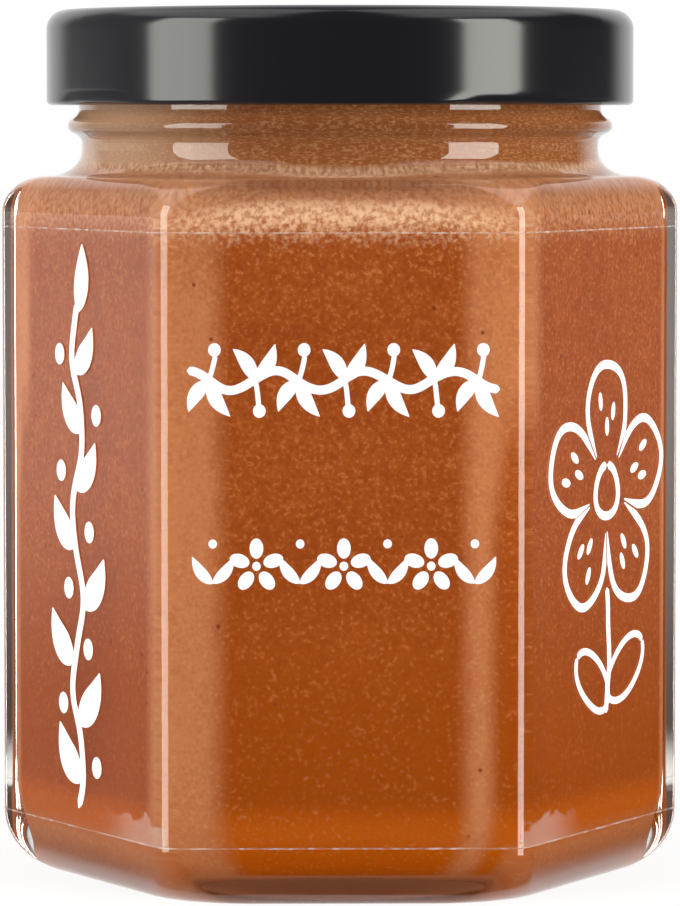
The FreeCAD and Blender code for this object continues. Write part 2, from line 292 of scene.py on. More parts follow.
def carry_round(meridian: Meridian, corner_steps: int) -> tuple[np.ndarray, np.ndarray]:
    """Carry a meridian over its rounded hexagons.

    A point whose outward direction is at angle p lies at the corner centre, which is
    (apothem - rounding) over cosine 30 degrees out along its corner, plus the rounding
    times the direction. The normal leans by how fast the support distance grows against
    the height: (change of apothem - change of rounding) over cosine 30 degrees times the
    cosine of the angle to the corner, plus the change of rounding.

    Args:
        meridian: the path of levels.
        corner_steps: number of columns round one corner.

    Returns:
        Points and outward normals, as arrays of rows by columns by three, in millimetres.
    """
    levels, slopes = meridian.arrays()
    sixth = TURN / 6
    swing = np.linspace(-sixth / 2, sixth / 2, corner_steps + 1)
    corner = np.repeat(np.arange(6) * sixth, corner_steps + 1)
    lean = np.tile(swing, 6)
    angle = corner + lean

    apothem, rounding, height = (levels[:, k][:, None] for k in range(3))
    reach = (apothem - rounding) / math.cos(sixth / 2)
    points = np.stack([
        reach * np.cos(corner) + rounding * np.cos(angle),
        reach * np.sin(corner) + rounding * np.sin(angle),
        np.broadcast_to(height, (len(levels), len(angle))),
    ], axis=-1)

    d_apothem, d_rounding, d_height = (slopes[:, k][:, None] for k in range(3))
    grow = (d_apothem - d_rounding) / math.cos(sixth / 2) * np.cos(lean) + d_rounding
    normals = np.stack([d_height * np.cos(angle), d_height * np.sin(angle), -grow], axis=-1)
    normals /= np.linalg.norm(normals, axis=-1, keepdims=True)
    return points, normals


def grid_faces(rows: int, columns: int, first: int = 0) -> np.ndarray:
    """Return the quads of a grid whose columns close on themselves.

    Args:
        rows: number of rows.
        columns: number of columns.
        first: index of the grid's first vertex.

    Returns:
        One row of four vertex indices for each quad.
    """
    row, column = np.meshgrid(np.arange(rows - 1), np.arange(columns), indexing="ij")
    across = (column + 1) % columns
    low, high = row * columns, (row + 1) * columns
    quads = np.stack([low + column, low + across, high + across, high + column], axis=-1)
    return quads.reshape(-1, 4) + first


def cap_faces(ring: np.ndarray, pole: int, upward: bool) -> np.ndarray:
    """Return the triangles that close a ring of vertices on a pole vertex."""
    onward = np.roll(ring, -1)
    order = (ring, onward) if upward else (onward, ring)
    return np.stack([order[0], order[1], np.full(len(ring), pole)], axis=-1)


def new_piece(name: str, points: np.ndarray, faces: list[list[int]],
              normals: np.ndarray | None = None) -> bpy.types.Object:
    """Put a surface into a smooth-shaded mesh object at the origin.

    Args:
        name: the piece's name.
        points: vertices in millimetres.
        faces: vertex indices of each face.
        normals: outward normal of each vertex, where the formula gives it.

    Returns:
        The linked object.
    """
    mesh = bpy.data.meshes.new(name)
    mesh.from_pydata((points * MM).tolist(), [], faces)
    mesh.validate()
    mesh.shade_smooth()
    if normals is not None:
        mesh.normals_split_custom_set_from_vertices(normals.tolist())
    piece = bpy.data.objects.new(name, mesh)
    bpy.context.scene.collection.objects.link(piece)
    return piece


def shell_piece(name: str, points: np.ndarray, normals: np.ndarray) -> bpy.types.Object:
    """Make a piece from a carried grid, closed on a pole at each end.

    Args:
        name: the piece's name.
        points: rows by columns by three, millimetres.
        normals: outward normals of the same shape.

    Returns:
        The linked object.
    """
    rows, columns = points.shape[:2]
    ring, count = np.arange(columns), rows * columns
    poles, leans = points[[0, -1]].mean(axis=1), normals[[0, -1]].mean(axis=1)
    leans /= np.linalg.norm(leans, axis=-1, keepdims=True)
    faces = grid_faces(rows, columns).tolist()
    faces += cap_faces(ring, count, upward=False).tolist()
    faces += cap_faces(ring + count - columns, count + 1, upward=True).tolist()
    return new_piece(name, np.concatenate([points.reshape(-1, 3), poles]), faces,
                     np.concatenate([normals.reshape(-1, 3), leans]))


def surface_normals(points: np.ndarray) -> np.ndarray:
    """Return a grid's outward normals from its own neighbours.

    The normal is the cross product of the step to the next column and the step to the
    next row, each taken across the point.

    Args:
        points: rows by columns by three, columns closing on themselves.

    Returns:
        Unit normals of the same shape.
    """
    across = np.roll(points, -1, axis=1) - np.roll(points, 1, axis=1)
    down = np.gradient(points, axis=0)
    normals = np.cross(across, down)
    lengths = np.linalg.norm(normals, axis=-1, keepdims=True)
    return normals / np.maximum(lengths, 1e-12)


def tube_piece(name: str, points: np.ndarray) -> bpy.types.Object:
    """Make a closed piece from sections in rows, ended by flat caps.

    Args:
        name: the piece's name.
        points: rows (sections) by columns (round each section) by three, millimetres.

    Returns:
        The linked object, its faces turned outwards.
    """
    rows, columns = points.shape[:2]
    faces = grid_faces(rows, columns).tolist()
    faces.append(list(range(columns)))
    faces.append(list(range((rows - 1) * columns, rows * columns)))
    piece = new_piece(name, points.reshape(-1, 3), faces)
    turn_outwards(piece)
    return piece


def turn_outwards(piece: bpy.types.Object) -> None:
    """Recalculate a closed mesh's normals so that they point outwards."""
    work = bmesh.new()
    work.from_mesh(piece.data)
    bmesh.ops.remove_doubles(work, verts=work.verts, dist=1e-7)
    bmesh.ops.recalc_face_normals(work, faces=work.faces)
    work.to_mesh(piece.data)
    work.free()


def dress(piece: bpy.types.Object, material: bpy.types.Material, slot: str,
          *replaced: str) -> None:
    """Give a piece its material, its body and the solid it stands for.

    Args:
        piece: the piece.
        material: its finish.
        slot: the record's material slot; not used.
        replaced: CAD nodes that the piece stands for.
    """
    piece.data.materials.append(material)
    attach(piece, BODY)
    if replaced:
        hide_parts(*replaced)
    LOG.info("%s: %d vertices", piece.name, len(piece.data.vertices))


# ---------------------------------------------------------------------------
# Finishes
# ---------------------------------------------------------------------------


@dataclass(frozen=True)
class SodaLimeGlass:
    """Clear container glass, pressed and blown: colourless, with a trace of green."""

    tint: str = "FBFDFB"
    ior: float = 1.52
    swell_mm: float = 9.0
    swell_depth_mm: float = 0.02

    def material(self) -> bpy.types.Material:
        """Return glass with the faint swell that a mould leaves in its surface."""
        material, add = new_material("soda_lime_glass")
        swell = add("TexNoise", None, {
            "Vector": add("TexCoord", output="Object"), "Scale": per_metre(self.swell_mm),
            "Detail": 1.0})
        bump = add("Bump", None, {
            "Strength": 1.0, "Distance": self.swell_depth_mm * MM, "Height": swell})
        shader = add("BsdfPrincipled", None, {
            "Base Color": linear(self.tint), "Roughness": 0.0, "IOR": self.ior,
            "Transmission Weight": 1.0, "Normal": bump})
        add("OutputMaterial", None, {"Surface": shader})
        return material


@dataclass(frozen=True)
class CreamedHoney:
    """Creamed honey with fruit: opaque, full of fine sugar crystals of uneven size.

    It is deep orange-brown where it lies flat on the glass, and darker towards the bottom
    with painted shade. Towards the upright corners and the side heels painted light
    makes it paler and less saturated, for the light that the glass bends onto it. Under
    the shoulder it carries painted light from above and a painted reflection, and the
    neck a painted haze on the left. The zones are pairs of heights, in millimetres,
    between which one look passes into the next, and the underside's zone is a pair of
    radii.
    """

    heel: str = "A04A07"
    # painted shade: the darker colour towards the bottom
    deep: str = "833801"
    dark: str = "873B11"
    middle: str = "914518"
    light: str = "A05222"
    # painted light: paler colours at the upright corners and the side heels, higher and lower down
    painted_pale: str = "B67047"
    painted_pale_low: str = "A76741"
    # froth with painted light from above
    froth_and_top_light: str = "E6B692"
    # painted reflection in the shoulder: a pale tone and darker upright smears
    shoulder: str = "C09678"
    painted_smear: str = "9A6C50"
    neck: str = "8A4E2A"
    pale: str = "A87650"
    # painted haze from the left light, over the neck
    haze: str = "BC9C82"
    # painted light on the underside, which comes in through the glass base; palest in the middle
    underside: str = "A86846"
    underside_middle: str = "FFB48A"
    crystal: str = "E6A672"
    fleck: str = "6E2414"
    grain_mm: float = 0.42
    froth_and_top_light_mm: float = 0.5
    painted_smear_mm: float = 0.45
    roll_mm: float = 0.55
    clump_mm: float = 1.6
    cloud_mm: float = 15.0
    fleck_mm: float = 3.0
    heel_zone: tuple[float, float] = (11.0, 7.0)
    bottom_shade_zone: tuple[float, float] = (45.0, 12.0)
    crystal_and_top_light_zone: tuple[float, float] = (60.0, 68.0)
    froth_and_top_light_zone: tuple[float, float] = (67.8, 72.0)
    painted_smear_zone: tuple[float, float] = (70.4, 71.8)
    neck_zone: tuple[float, float] = (72.1, 73.4)
    underside_zone: tuple[float, float] = (14.0, 20.0)

    def noise(self, add: AddNode, place: Socket, size_mm: float, detail: float,
              stretch: float = 1.0) -> Socket:
        """Return a noise of the given grain, drawn out upwards by the stretch."""
        held = add("Mapping", None, {"Vector": place, "Scale": (1.0, 1.0, 1.0 / stretch)})
        return add("TexNoise", None, {
            "Vector": held, "Scale": per_metre(size_mm), "Detail": detail, "Roughness": 0.6})

    def body(self, add: AddNode, place: Socket, height: Socket) -> Socket:
        """Return the colour of the honey behind the flats and the upright corners.

        Grain, clumps and clouds are added up and looked up in a ramp. The colour darkens
        towards the bottom, which is painted shade, and pales where painted light lies at
        the upright corners and the side heels.

        Args:
            add: function that adds a node.
            place: object coordinates.
            height: height in millimetres.

        Returns:
            The colour.
        """
        mixed = add("Math", TIMES, (self.noise(add, place, self.grain_mm, 2.0), 0.52))
        for size_mm, share in ((self.clump_mm, 0.26), (self.cloud_mm, 0.22)):
            mixed = add("Math", TIMES_PLUS, (self.noise(add, place, size_mm, 3.0), share, mixed))
        colour = add("ValToRGB", {"stops": (
            (0.38, self.dark), (0.5, self.middle), (0.62, self.light))}, {"Fac": mixed})
        # painted shade: darker towards the bottom
        low = add("MapRange", SOFT, (height, *self.bottom_shade_zone, 0.0, 0.95))
        colour = add("Mix", COLOURS, {0: low, 6: colour, 7: linear(self.deep)}, 2)
        heel = add("MapRange", SOFT, (height, *self.heel_zone))
        colour = add("Mix", COLOURS, {0: heel, 6: colour, 7: linear(self.heel)}, 2)
        # painted light at the upright corners and the side heels, broken up by the grain
        bloom = add("Math", TIMES, (
            add("Attribute", {"attribute_name": PAINTED_LIGHT}, output="Fac"),
            add("MapRange", SOFT, (mixed, 0.36, 0.58, 0.72, 1.05))))
        painted_pale = add("Mix", COLOURS, {
            0: low, 6: linear(self.painted_pale), 7: linear(self.painted_pale_low)}, 2)
        return add("Mix", COLOURS, {0: bloom, 6: colour, 7: painted_pale}, 2)

    def top(self, add: AddNode, place: Socket, height: Socket, colour: Socket) -> Socket:
        """Lay the upper zones over the body.

        Under the shoulder lies a grainy froth, pale with painted light from above and
        thinner at the slanting flats, whose lower edge the clumps make ragged. In the
        shoulder a pale tone with upright smears paints the reflection and the drawn-out
        honey that the curved glass shows. In the neck, with a painted haze from the left
        light on one side, the specks are drawn out level.

        Args:
            add: function that adds a node.
            place: object coordinates.
            height: height in millimetres.
            colour: the body's colour.

        Returns:
            The colour.
        """
        # froth with painted light from above, thinner at the slanting flats
        clumps = self.noise(add, place, self.froth_and_top_light_mm, 2.0)
        edge = add("Math", TIMES_PLUS, (clumps, 5.0, height))
        froth_and_top_light = add("Math", TIMES, (
            add("MapRange", SOFT, (edge, *self.froth_and_top_light_zone)),
            add("MapRange", SOFT, (clumps, 0.36, 0.60, 0.55, 0.95))))
        normal = add("NewGeometry", output="Normal")
        straight = add("Math", UNSIGNED, (add("SeparateXYZ", None, (normal,), "Y"),))
        froth_and_top_light = add("Math", TIMES, (
            froth_and_top_light, add("MapRange", SOFT, (straight, 0.55, 0.95, 0.35, 1.0))))
        colour = add("Mix", COLOURS, {0: froth_and_top_light, 6: colour, 7: linear(self.froth_and_top_light)}, 2)

        # painted reflection in the shoulder: pale tone with upright smears
        painted_smears = add("MapRange", SOFT, (
            self.noise(add, place, self.painted_smear_mm, 3.0, 5.0), 0.36, 0.64))
        smeared_reflection = add("Mix", COLOURS, {
            0: painted_smears, 6: linear(self.painted_smear), 7: linear(self.shoulder)}, 2)
        shoulder = add("MapRange", SOFT, (height, *self.painted_smear_zone))
        colour = add("Mix", COLOURS, {0: shoulder, 6: colour, 7: smeared_reflection}, 2)

        rolls = add("MapRange", SOFT, (
            self.noise(add, place, self.roll_mm, 4.0, 0.45), 0.44, 0.70))
        rolled = add("Mix", COLOURS, {0: rolls, 6: linear(self.neck), 7: linear(self.pale)}, 2)
        # painted haze from the left light on the neck's left side
        painted_left_haze = add("MapRange", SOFT, (
            add("SeparateXYZ", None, (place,), "X"), -8.0 * MM, -22.0 * MM, 0.0, 0.55))
        rolled = add("Mix", COLOURS, {0: painted_left_haze, 6: rolled, 7: linear(self.haze)}, 2)
        neck = add("MapRange", SOFT, (height, *self.neck_zone))
        return add("Mix", COLOURS, {0: neck, 6: colour, 7: rolled}, 2)

    def grains(self, add: AddNode, place: Socket, height: Socket, colour: Socket) -> Socket:
        """Scatter pale crystals, and a few dark flecks of fruit. The crystals are stronger
        higher up, as painted light from above.

        Args:
            add: function that adds a node.
            place: object coordinates.
            height: height in millimetres.
            colour: what they lie on.

        Returns:
            The colour.
        """
        specks = self.noise(add, place, self.grain_mm, 1.0)
        # the crystals grow stronger higher up, which is painted light from above
        crystals = add("Math", TIMES, (
            add("MapRange", SOFT, (specks, 0.58, 0.74, 0.0, 0.10)),
            add("MapRange", SOFT, (height, *self.crystal_and_top_light_zone, 1.0, 2.4))))
        colour = add("Mix", COLOURS, {0: crystals, 6: colour, 7: linear(self.crystal)}, 2)
        cells = add("TexVoronoi", {"feature": "F1"}, {
            "Vector": place, "Scale": per_metre(self.fleck_mm)}).node.outputs
        flecks = add("Math", TIMES, (
            add("MapRange", SOFT, (cells["Distance"], 0.10, 0.05)),
            add("MapRange", SOFT, (cells["Color"], 0.62, 0.66, 0.0, 0.8))))
        return add("Mix", COLOURS, {0: flecks, 6: colour, 7: linear(self.fleck)}, 2)

    def below(self, add: AddNode, place: Socket, colour: Socket) -> Socket:
        """Lay painted light on the underside, where the honey faces down, palest in the
        middle: the light that comes in through the glass base.

        Args:
            add: function that adds a node.
            place: object coordinates.
            colour: what it lies on.

        Returns:
            The colour.
        """
        # painted light on the downward-facing underside, palest in the middle
        normal = add("NewGeometry", output="Normal")
        facing = add("MapRange", SOFT, (
            add("SeparateXYZ", None, (normal,), "Z"), -0.94, -0.99))
        across = add("VectorMath", TIMES, (place, (1.0, 1.0, 0.0)))
        radius = add("VectorMath", {"operation": "LENGTH"}, (across,), "Value")
        inner, outer = (edge * MM for edge in self.underside_zone)
        under = add("Mix", COLOURS, {
            0: add("MapRange", SOFT, (radius, inner, outer)),
            6: linear(self.underside_middle), 7: linear(self.underside)}, 2)
        return add("Mix", COLOURS, {0: facing, 6: colour, 7: under}, 2)

    def material(self) -> bpy.types.Material:
        """Return the honey: body and top, with crystals and flecks of fruit over them."""
        material, add = new_material("creamed_honey")
        place = add("TexCoord", output="Object")
        height = add("Math", TIMES, (add("SeparateXYZ", None, (place,), "Z"), 1.0 / MM))
        colour = self.body(add, place, height)
        colour = self.top(add, place, height, colour)
        colour = self.grains(add, place, height, colour)
        shader = add("BsdfPrincipled", None, {
            "Base Color": self.below(add, place, colour), "Roughness": 0.6,
            "Specular IOR Level": 0.0})
        add("OutputMaterial", None, {"Surface": shader})
        return material


@dataclass(frozen=True)
class BlackLacquer:
    """Black gloss lacquer on drawn tinplate: a deep, slightly rippled mirror."""

    colour: str = "19191D"
    roughness: float = 0.15
    ripple_mm: float = 1.4
    ripple_depth_mm: float = 0.004

    def material(self) -> bpy.types.Material:
        """Return the lacquer, with the faint orange peel that breaks its reflections."""
        material, add = new_material("black_gloss_lacquer")
        peel = add("TexNoise", None, {
            "Vector": add("TexCoord", output="Object"), "Scale": per_metre(self.ripple_mm),
            "Detail": 2.0})
        bump = add("Bump", None, {
            "Strength": 0.25, "Distance": self.ripple_depth_mm * MM, "Height": peel})
        shader = add("BsdfPrincipled", None, {
            "Base Color": linear(self.colour), "Roughness": self.roughness, "IOR": 1.5,
            "Normal": bump})
        add("OutputMaterial", None, {"Surface": shader})
        return material


@dataclass(frozen=True)
class ClearFilm:
    """Clear polypropylene film: it only lays a trace of haze over the glass.

    Thin air is caught under it low on the slanting flats, beside the two front corners;
    its pale haze is a painted reflection.
    """

    haze: str = "F4F2F0"
    cut: str = "DAD6D2"
    roughness: float = 0.25
    cover: float = 0.002
    cut_cover: tuple[float, float] = (0.05, 0.30)
    cut_break_mm: float = 1.1
    air_reflection_cover: float = 0.07
    air_top: float = 5.9
    air_ragged: float = 5.0
    air_ragged_mm: float = 2.4

    def material(self) -> bpy.types.Material:
        """Return the film itself: clear, but for the air.

        The air's painted reflection has an upper edge that wanders by a noise, and it thins
        out away from the corners.
        """
        material, add = new_material("clear_film")
        place = add("TexCoord", output="Object")
        parts = add("SeparateXYZ", None, (place,)).node.outputs
        aside = add("Math", UNSIGNED, (parts["X"],))
        ragged = add("TexNoise", None, {
            "Vector": place, "Scale": per_metre(self.air_ragged_mm), "Detail": 3.0})
        edge = add("Math", TIMES_PLUS, (ragged, -self.air_ragged * MM, parts["Z"]))
        air = add("MapRange", SOFT, (edge, self.air_top * MM, (self.air_top - 0.4) * MM))
        for value, start, end in ((aside, 24.5, 20.0), (aside, 17.3, 17.8),
                                  (parts["Y"], 0.0, -1.0)):
            air = add("Math", TIMES, (
                air, add("MapRange", SOFT, (value, start * MM, end * MM))))
        # the air's pale haze is a painted reflection
        shader = add("BsdfPrincipled", None, {
            "Base Color": linear(self.haze), "Roughness": self.roughness,
            "Alpha": add("Math", TIMES_PLUS, (air, self.air_reflection_cover, self.cover))})
        add("OutputMaterial", None, {"Surface": shader})
        return material

    def cut_edge(self) -> bpy.types.Material:
        """Return the film's cut edge: a pale line that comes and goes with a noise."""
        material, add = new_material("film_cut_edge")
        wear = add("TexNoise", None, {
            "Vector": add("TexCoord", output="Object"), "Scale": per_metre(self.cut_break_mm),
            "Detail": 3.0})
        shader = add("BsdfPrincipled", None, {
            "Base Color": add("Mix", COLOURS, {
                0: wear, 6: linear(self.cut), 7: linear(self.haze)}, 2),
            "Roughness": self.roughness,
            "Alpha": add("MapRange", SOFT, (wear, 0.42, 0.72, *self.cut_cover))})
        add("OutputMaterial", None, {"Surface": shader})
        return material


@dataclass(frozen=True)
class WhiteInk:
    """White screen-printing ink: an even, faintly cool matt white."""

    colour: str = "F1F1F6"
    thin: str = "E6E6EE"
    mottle_mm: float = 0.5

    def material(self) -> bpy.types.Material:
        """Return the ink, with the slight mottle of a screened layer."""
        material, add = new_material("white_screen_ink")
        mottle = add("TexNoise", None, {
            "Vector": add("TexCoord", output="Object"), "Scale": per_metre(self.mottle_mm),
            "Detail": 2.0})
        tone = add("ValToRGB", {"stops": ((0.3, self.thin), (0.6, self.colour))},
                   {"Fac": mottle})
        shader = add("BsdfPrincipled", None, {
            "Base Color": tone, "Roughness": 0.55, "Specular IOR Level": 0.3})
        add("OutputMaterial", None, {"Surface": shader})
        return material


# ---------------------------------------------------------------------------
# Glass and honey
# ---------------------------------------------------------------------------


@dataclass
class BottleForm:
    """One wall of the hexagonal body: heel, upright flats and the shoulder to the neck.

    The shoulder bulges over the flats' upper end, runs in by its share of the way to the
    neck, and sweeps up into it.
    """

    apothem: float
    rounding: float
    low: float
    high: float
    heel_height: float
    heel_inset: float
    heel_rounding: float
    neck: float
    bulge: float = 3.8
    sweep: float = 2.7
    share: float = 0.58

    def between(self, part: float, height: float) -> Ring:
        """Return the level that lies a part of the way from the neck back to the body."""
        neck = circle(self.neck, height)
        return Ring(neck.apothem + (self.apothem - neck.apothem) * part,
                    neck.rounding + (self.rounding - neck.rounding) * part, height)

    def floor(self) -> Ring:
        """Return the outline of the flat bottom."""
        return Ring(self.apothem - self.heel_inset, self.heel_rounding, self.low)

    def heel(self) -> tuple[Ring, Ring]:
        """Return the heel's corner and its upper end."""
        return (Ring(self.apothem, self.rounding, self.low),
                Ring(self.apothem, self.rounding, self.low + self.heel_height))

    def shoulder(self) -> tuple[Ring, Ring, Ring, Ring, Ring]:
        """Return the shoulder's five turning levels, from the flats up to the neck."""
        turn = self.high + self.bulge
        return (self.between(1.0, self.high), self.between(1.0, turn),
                self.between(1.0 - self.share, turn), self.between(0.0, turn),
                self.between(0.0, turn + self.sweep))


@dataclass
class GlassJar:
    """The glass: outside, finish, bore and cavity in one closed surface."""

    across_flats: float
    height: float
    rounding: float = 3.0
    heel_height: float = 6.0
    heel_inset: float = 4.0
    heel_rounding: float = 13.0
    wall: float = 2.6
    inner_rounding: float = 11.0
    inner_heel_inset: float = 5.0
    base: float = 3.4
    body_height: float = 68.3
    shoulder_glass: float = 2.0
    neck_radius: float = 26.8
    neck_glass: float = 2.8
    neck_height: float = 1.2
    bead_reach: float = 1.45
    bead_height: float = 2.5
    bead_flat: float = 0.9
    finish_step: float = 0.3
    rim_round: float = 0.8
    punt_depth: float = 3.0
    floor_rise: float = 2.4
    punt_margin: float = 3.6
    dome_flat: float = 9.0
    dome_round: float = 30.0
    corner_steps: int = 16

    def outside(self) -> BottleForm:
        """Return the outer wall."""
        return BottleForm(self.across_flats / 2, self.rounding, 0.0, self.body_height,
                          self.heel_height, self.heel_inset, self.heel_rounding,
                          self.neck_radius)

    def inside(self, swell: float = 0.0) -> BottleForm:
        """Return the cavity's wall.

        Args:
            swell: how far the wall is moved out into the glass.

        Returns:
            The form, which the honey uses too.
        """
        return BottleForm(
            self.across_flats / 2 - self.wall + swell, self.inner_rounding + swell,
            self.base - swell, self.body_height - self.shoulder_glass + swell,
            self.heel_height, self.inner_heel_inset, self.inner_rounding + swell,
            self.neck_radius - self.neck_glass + swell,
        )

    def dome(self, floor: float, rise: float) -> tuple[Ring, Ring, Ring, Ring]:
        """Return the low dome of the base.

        A slope climbs from the foot towards a flat. The turn between them has the dome's
        rounding, so it begins and ends the rounding times the tangent of half the slope's
        angle from their corner.

        Args:
            floor: height of the dome's foot.
            rise: height of its flat over that.

        Returns:
            End of the flat, the corner, start of the slope, and the foot.
        """
        foot = self.across_flats / 2 - self.heel_inset - self.punt_margin
        slope = math.atan2(rise, foot - self.dome_flat)
        setback = self.dome_round * math.tan(slope / 2)
        top = floor + rise
        return (circle(self.dome_flat - setback, top), circle(self.dome_flat, top),
                circle(self.dome_flat + setback * math.cos(slope),
                       top - setback * math.sin(slope)),
                circle(foot, floor))

    def meridian(self) -> Meridian:
        """Run under the base, up the outside, over the rim and down the inside."""
        out, cavity = self.outside(), self.inside()
        flat, corner, slope, foot = self.dome(0.0, self.punt_depth)
        path = Meridian(circle(POLE, self.punt_depth))
        path.line(flat, 3).curve(corner, slope, 6).line(
            circle(foot.apothem - 2.0, 2.0 * slope.height / (foot.apothem - slope.apothem)), 4)
        path.corner(foot, circle(foot.apothem + 1.0, 0.0), 0.5)
        path.line(out.floor(), 3)
        corner, top = out.heel()
        path.curve(corner, top, 20)
        low, outer, middle, inner, neck = out.shoulder()
        path.line(low, 8)
        path.curve(outer, middle, 18).curve(inner, neck, 14)
        self.finish(path, neck.height)
        bore = self.neck_radius - self.neck_glass
        low, outer, middle, inner, neck = cavity.shoulder()
        path.line(circle(bore, neck.height), 4)
        path.curve(inner, middle, 12).curve(outer, low, 14)
        corner, top = cavity.heel()
        path.line(top, 6)
        path.curve(corner, cavity.floor(), 12)
        flat, corner, slope, foot = self.dome(self.base, self.floor_rise)
        path.line(circle(foot.apothem - 0.4, foot.height), 3).line(slope, 4)
        path.curve(corner, flat, 6).line(circle(POLE, flat.height), 3)
        return path

    def finish(self, path: Meridian, neck_top: float) -> None:
        """Add the neck, the bead, the finish and the rim to the path.

        Args:
            path: the meridian, which has reached the neck.
            neck_top: height where the shoulder ends.
        """
        neck, wall = self.neck_radius, self.neck_radius + self.finish_step
        bead, bore, rim = neck + self.bead_reach, neck - self.neck_glass, self.rim_round
        low = neck_top + self.neck_height
        high, middle = low + self.bead_height, low + self.bead_height / 2
        under = circle(bead, middle - self.bead_flat / 2)
        over = circle(bead, middle + self.bead_flat / 2)
        path.corner(circle(neck, low), under, 0.5)
        path.corner(under, over, 0.4)
        path.corner(over, circle(wall, high), 0.4)
        path.corner(circle(wall, high), circle(wall, self.height), 0.5)
        path.line(circle(wall, self.height - rim), 6)
        path.curve(circle(wall, self.height), circle(wall - rim, self.height), 6)
        path.line(circle(bore + rim, self.height), 1)
        path.curve(circle(bore, self.height), circle(bore, self.height - rim), 6)

    def build(self) -> None:
        """Make and dress the glass."""
        piece = shell_piece("glass_jar", *carry_round(self.meridian(), self.corner_steps))
        piece.visible_shadow = False
        piece.visible_diffuse = False
        dress(piece, SodaLimeGlass().material(), "glass", "jar")


@dataclass
class Honey:
    """The honey: it wets the glass all round, so it reaches a hair into the wall."""

    glass: GlassJar
    level: float
    swell: float = 0.12
    meniscus: float = 0.5
    unevenness: float = 0.25
    corner_steps: int = 20
    # bands and heel zone of painted light, for the light that the glass bends onto the honey
    painted_light_bands: tuple[tuple[float, float, float, float], ...] = (
        (0.0, 10.0, 14.0, 26.0), (-24.0, -10.0, 8.0, 22.0), (-22.0, -8.0, 10.0, 24.0),
        (-26.0, -14.0, -10.0, 0.0), (-20.0, -8.0, 9.0, 25.0), (-25.0, -11.0, -11.0, 2.0),
    )
    painted_light_spread: float = 20.0
    painted_light_spread_start: float = 42.0
    painted_light_spread_run: float = 10.0
    heel_painted_light: float = 6.6
    heel_painted_light_start: float = 34.0
    heel_painted_light_run: float = 12.0

    def bloom(self, points: np.ndarray) -> np.ndarray:
        """Return how strong the painted light is at each point, from 0 to 1.

        The bands tell, for each upright corner from the one on +X on, at which leans from
        the corner's middle the painted light begins, is full, still is full, and ends, in
        degrees. Over half way up it reaches further round the corner. It fades out over
        the shoulder, where the corners do. The rounded heel gets painted light too, apart
        from the front.

        Args:
            points: the honey's grid.

        Returns:
            One share for each point.
        """
        lean = np.linspace(-30.0, 30.0, self.corner_steps + 1)
        height = points[:, :1, 2]
        spread = self.painted_light_spread * np.clip(
            (height - self.painted_light_spread_start) / self.painted_light_spread_run, 0.0, 1.0)
        shares = []
        for start, full, still, end in self.painted_light_bands:
            wide = spread * (end < 5.0)
            shares.append(np.clip(np.minimum((lean - start) / (full - start),
                                             (end + wide - lean) / (end - still)), 0.0, 1.0))
        share = np.concatenate(shares, axis=1)
        share = share * share * (3.0 - 2.0 * share)
        fade = np.clip((self.glass.body_height + 4.0 - points[..., 2]) / 8.0, 0.0, 1.0)
        aside = np.tile(lean, 6) + np.repeat(np.arange(6) * 60.0, len(lean))
        aside = np.abs((aside + 270.0) % 360.0 - 180.0)
        heel = (np.clip(self.heel_painted_light - points[..., 2], 0.0, 1.5) / 1.5
                * np.clip((aside - self.heel_painted_light_start) / self.heel_painted_light_run, 0.0, 1.0))
        return np.maximum(share * fade, 0.9 * heel)

    def build(self) -> None:
        """Make the honey.

        The top is uneven by a sum of three slow waves, which fade at the glass with the
        square of the distance from the axis.
        """
        form = self.glass.inside(self.swell)
        flat, corner, slope, foot = self.glass.dome(form.low, self.glass.floor_rise)
        path = Meridian(circle(POLE, flat.height))
        path.line(flat, 3).curve(corner, slope, 6).line(circle(foot.apothem - 0.4, form.low), 4)
        path.line(form.floor(), 3)
        corner, top = form.heel()
        path.curve(corner, top, 12)
        low, outer, middle, inner, neck = form.shoulder()
        path.line(low, 8)
        path.curve(outer, middle, 14).curve(inner, neck, 12)
        path.line(circle(form.neck, self.level), 6)
        path.curve(circle(form.neck - self.meniscus, self.level - self.meniscus),
                   circle(form.neck - 3 * self.meniscus, self.level - self.meniscus), 6)
        skin = len(path.arrays()[0])
        path.line(circle(POLE, self.level - self.meniscus), 16)
        points, normals = carry_round(path, self.corner_steps)
        surface = points[skin:]
        across, along = surface[..., 0], surface[..., 1]
        wave = (np.sin(across * 0.31 + 0.4) + np.sin(along * 0.27 + 1.1)
                + np.sin((across - along) * 0.19))
        calm = 1.0 - (np.hypot(across, along) / form.neck) ** 2
        surface[..., 2] += self.unevenness / 3 * wave * calm
        piece = shell_piece("creamed_honey", points, normals)
        # painted light at the corners and heels, kept as a point attribute
        bloom = np.append(self.bloom(points).ravel(), (0.0, 0.0))
        piece.data.attributes.new(PAINTED_LIGHT, "FLOAT", "POINT").data.foreach_set("value", bloom)
        dress(piece, CreamedHoney().material(), "honey", "honey")


# ---------------------------------------------------------------------------
# Cap
# ---------------------------------------------------------------------------


